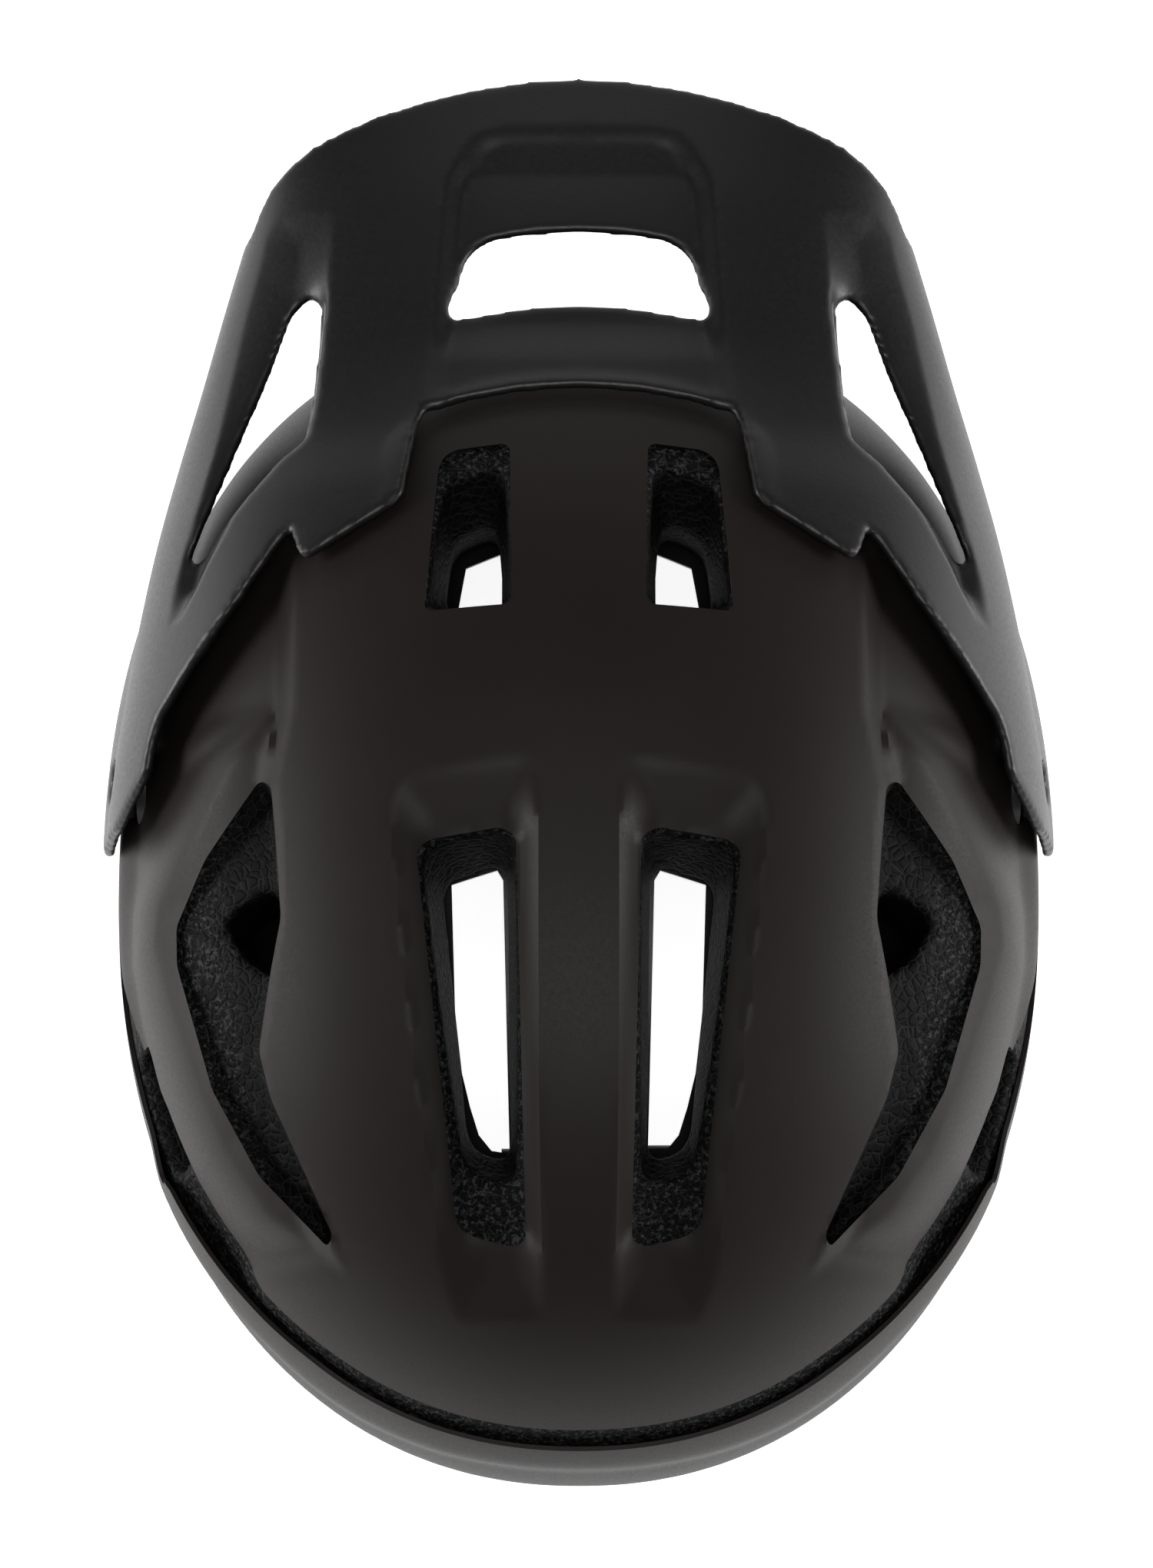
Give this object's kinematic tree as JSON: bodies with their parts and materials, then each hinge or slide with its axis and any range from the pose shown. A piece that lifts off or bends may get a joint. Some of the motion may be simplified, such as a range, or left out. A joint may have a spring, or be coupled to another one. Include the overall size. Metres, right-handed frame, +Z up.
{
  "type": "cycling helmet",
  "caption": "Trail cycling helmet with a tilting visor, vented shell over bead foam, slip liner with pads, rear dial cradle and webbing harness with a magnetic buckle.",
  "frame": {"origin": "centre of the head opening in the plane of the rim, under the middle of the shell's length", "axes": "+Z up out of the crown, -Y the way the wearer looks, +X the wearer's left"},
  "size_m": [0.2166, 0.316, 0.153],
  "materials": {
    "foam_black": "moulded bead foam",
    "shell_matte": "matte lacquer",
    "visor_matte": "fine satin grain",
    "hardware_black": "satin",
    "elastomer_grey": "matte",
    "slip_sheet": "smooth",
    "pad_fabric": "brushed knit",
    "webbing_black": "woven",
    "cradle_nylon": "satin",
    "knob_rubber": "matte",
    "magnet_nickel": "plated"
  },
  "bodies": {
    "helmet": {"foam_liner": "foam_black", "upper_shell": "shell_matte", "lower_shell": "shell_matte", "pivot_socket_left": "hardware_black", "pivot_socket_right": "hardware_black", "liner_plugs": "elastomer_grey", "cradle_guide": "cradle_nylon", "buckle_socket": "hardware_black", "strap_front_left": "webbing_black", "strap_front_right": "webbing_black", "strap_rear_left": "webbing_black", "strap_rear_right": "webbing_black", "strap_anchor_front_left": "hardware_black", "strap_anchor_front_right": "hardware_black", "strap_anchor_rear_left": "hardware_black", "strap_anchor_rear_right": "hardware_black", "magnet_socket": "magnet_nickel"},
    "peak": {"visor": "visor_matte", "pivot_pin_left": "hardware_black", "pivot_pin_right": "hardware_black"},
    "liner": {"slip_liner": "slip_sheet", "brow_pad": "pad_fabric", "crown_pad": "pad_fabric", "upper_pad_left": "pad_fabric", "upper_pad_right": "pad_fabric", "side_pad_left": "pad_fabric", "side_pad_right": "pad_fabric"},
    "cradle": {"cradle_yoke": "cradle_nylon", "cradle_housing_front": "cradle_nylon", "cradle_housing_back": "cradle_nylon", "occipital_pad_left": "pad_fabric", "occipital_pad_right": "pad_fabric"},
    "dial": {"dial_gear": "cradle_nylon", "dial_knob": "knob_rubber"},
    "wrap_left": {"cradle_arm_left": "cradle_nylon"},
    "wrap_right": {"cradle_arm_right": "cradle_nylon"},
    "divider_left": {"strap_divider_left": "hardware_black"},
    "divider_right": {"strap_divider_right": "hardware_black"},
    "keeper": {"strap_keeper": "knob_rubber"},
    "tongue": {"buckle_tongue": "hardware_black", "magnet_tongue": "magnet_nickel"}
  },
  "joints": [
    {"name": "visor_tilt", "type": "hinge", "parent": "helmet", "child": "peak", "pos_m": [0, -0.022, 0.076], "axis": [-1, 0, 0], "range_deg": [0, 20]},
    {"name": "liner_yaw", "type": "hinge", "parent": "helmet", "child": "liner", "pos_m": [0, 0, 0.06], "axis": [0, 0, 1], "range_deg": [-2.5, 2.5], "stiffness_Nm_per_rad": 4},
    {"name": "cradle_height", "type": "slide", "parent": "helmet", "child": "cradle", "axis": [0, 0, 1], "range_m": [0, 0.005]},
    {"name": "dial_turn", "type": "hinge", "parent": "cradle", "child": "dial", "pos_m": [0, 0.1, 0.028], "axis": [0, -1, 0], "range_deg": [-80, 80]},
    {"name": "wrap_left_turn", "type": "hinge", "parent": "cradle", "child": "wrap_left", "pos_m": [0, 0.018, 0.028], "axis": [0, 0, 1], "range_deg": [-4.3, 4.3]},
    {"name": "wrap_right_turn", "type": "hinge", "parent": "cradle", "child": "wrap_right", "pos_m": [0, 0.018, 0.028], "axis": [0, 0, -1], "range_deg": [-4.3, 4.3]},
    {"name": "divider_left_slide", "type": "slide", "parent": "helmet", "child": "divider_left", "axis": [1, 0, 0], "range_m": [-0.003, 0.003]},
    {"name": "divider_right_slide", "type": "slide", "parent": "helmet", "child": "divider_right", "axis": [-1, 0, 0], "range_m": [-0.003, 0.003]},
    {"name": "keeper_slide", "type": "slide", "parent": "helmet", "child": "keeper", "axis": [1, 0, 0], "range_m": [0, 0.008]},
    {"name": "buckle_release", "type": "slide", "parent": "helmet", "child": "tongue", "axis": [-1, 0, 0], "range_m": [0, 0.014]}
  ],
  "couplings": [
    {"joint": "wrap_left_turn", "follows": "dial_turn", "ratio": 0.051948},
    {"joint": "wrap_right_turn", "follows": "dial_turn", "ratio": 0.051948}
  ]
}
